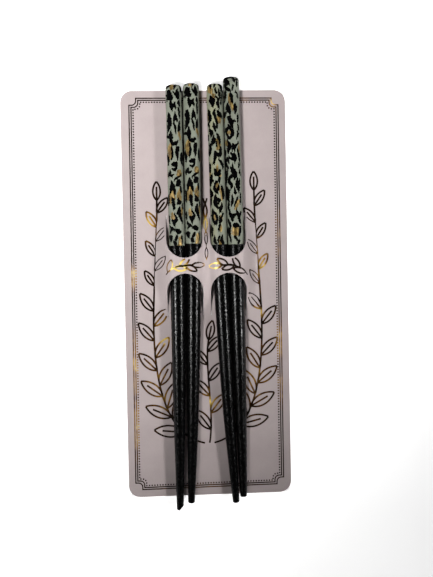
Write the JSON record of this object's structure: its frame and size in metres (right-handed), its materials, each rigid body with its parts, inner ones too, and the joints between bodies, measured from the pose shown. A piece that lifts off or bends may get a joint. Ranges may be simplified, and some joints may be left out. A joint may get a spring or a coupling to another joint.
{
  "type": "hair sticks on a display card",
  "caption": "Tapering lacquered hair sticks with animal-print film caps, held in pairs under the arched bridges of a slotted display card.",
  "frame": {"origin": "middle of the part's footprint, on the plane of the card's back", "axes": "+Y along the sticks towards their printed tops, +Z out of the card's face through the sticks, +X to the right of the card"},
  "size_m": [0.07, 0.1823, 0.0079],
  "materials": {
    "card": "smooth coated card, pale mauve grey, with fine printed and foil lines",
    "lacquer": "black lacquer, satin, with a fine sandy grain",
    "film": "sage green printed film, semi-gloss, with black spots and gold foil patches"
  },
  "bodies": {
    "root": {"card": "card", "shaft_1": "lacquer", "shaft_2": "lacquer", "shaft_3": "lacquer", "shaft_4": "lacquer", "film_1": "film", "film_2": "film", "film_3": "film", "film_4": "film"}
  },
  "joints": []
}
